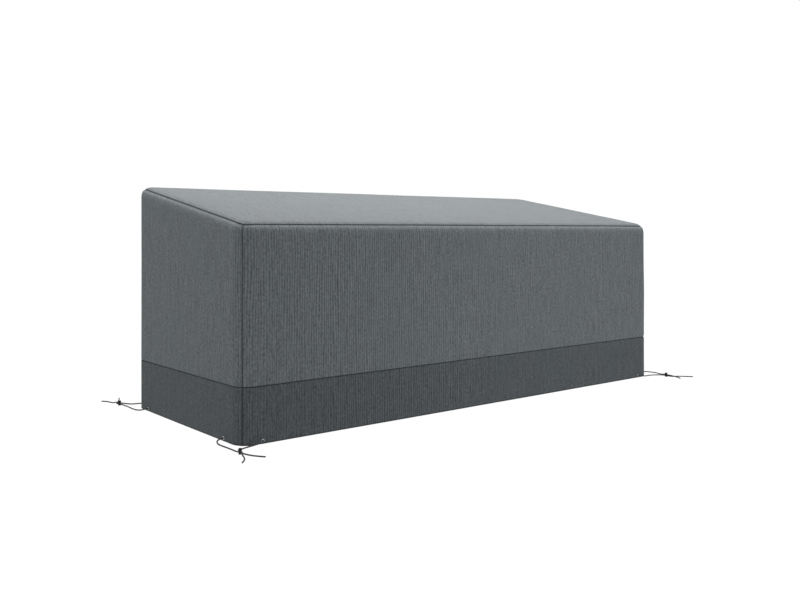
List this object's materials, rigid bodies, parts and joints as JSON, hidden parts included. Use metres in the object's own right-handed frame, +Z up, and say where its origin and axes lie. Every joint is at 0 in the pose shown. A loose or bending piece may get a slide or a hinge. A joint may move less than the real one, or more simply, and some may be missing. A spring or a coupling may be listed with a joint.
{
  "type": "patio furniture cover",
  "caption": "Fitted cloth cover for a patio sofa or bench, hollow and open below, with a sloping top, straight walls, a darker skirt, and drawcord ends with cord locks at the corners.",
  "frame": {"origin": "on the floor, in the middle of the cover's bounding box without its drawcord ends", "axes": "+X along the front towards its right end, seen from the front; +Y from the front wall to the back wall; +Z up"},
  "size_m": [2.456, 1.2348, 0.8833],
  "materials": {
    "upper_cloth": "grey coated woven polyester with fine upright ribs, matt",
    "skirt_cloth": "darker grey coated woven polyester with fine upright ribs, matt",
    "eyelet_metal": "nickel-plated, satin",
    "lock_plastic": "black moulded plastic, satin",
    "drawcord": "dark grey braided polyester"
  },
  "bodies": {
    "root": {"top_panel": "upper_cloth", "front_wall": "upper_cloth", "right_wall": "upper_cloth", "back_wall": "upper_cloth", "left_wall": "upper_cloth", "front_skirt": "skirt_cloth", "right_skirt": "skirt_cloth", "back_skirt": "skirt_cloth", "left_skirt": "skirt_cloth", "eyelet_front_left_end": "eyelet_metal", "eyelet_front_left_side": "eyelet_metal", "eyelet_front_right_end": "eyelet_metal", "eyelet_front_right_side": "eyelet_metal", "eyelet_back_left_end": "eyelet_metal", "eyelet_back_left_side": "eyelet_metal", "eyelet_back_right_end": "eyelet_metal", "eyelet_back_right_side": "eyelet_metal", "cord_front_left_end": "drawcord", "cord_front_left_side": "drawcord", "cord_front_right_end": "drawcord", "cord_front_right_side": "drawcord", "cord_back_left_end": "drawcord", "cord_back_left_side": "drawcord", "cord_back_right_end": "drawcord", "cord_back_right_side": "drawcord", "lock_front_left": "lock_plastic", "lock_front_right": "lock_plastic", "lock_back_left": "lock_plastic", "lock_back_right": "lock_plastic", "button_front_left": "lock_plastic", "button_front_right": "lock_plastic", "button_back_left": "lock_plastic", "button_back_right": "lock_plastic"}
  },
  "joints": []
}
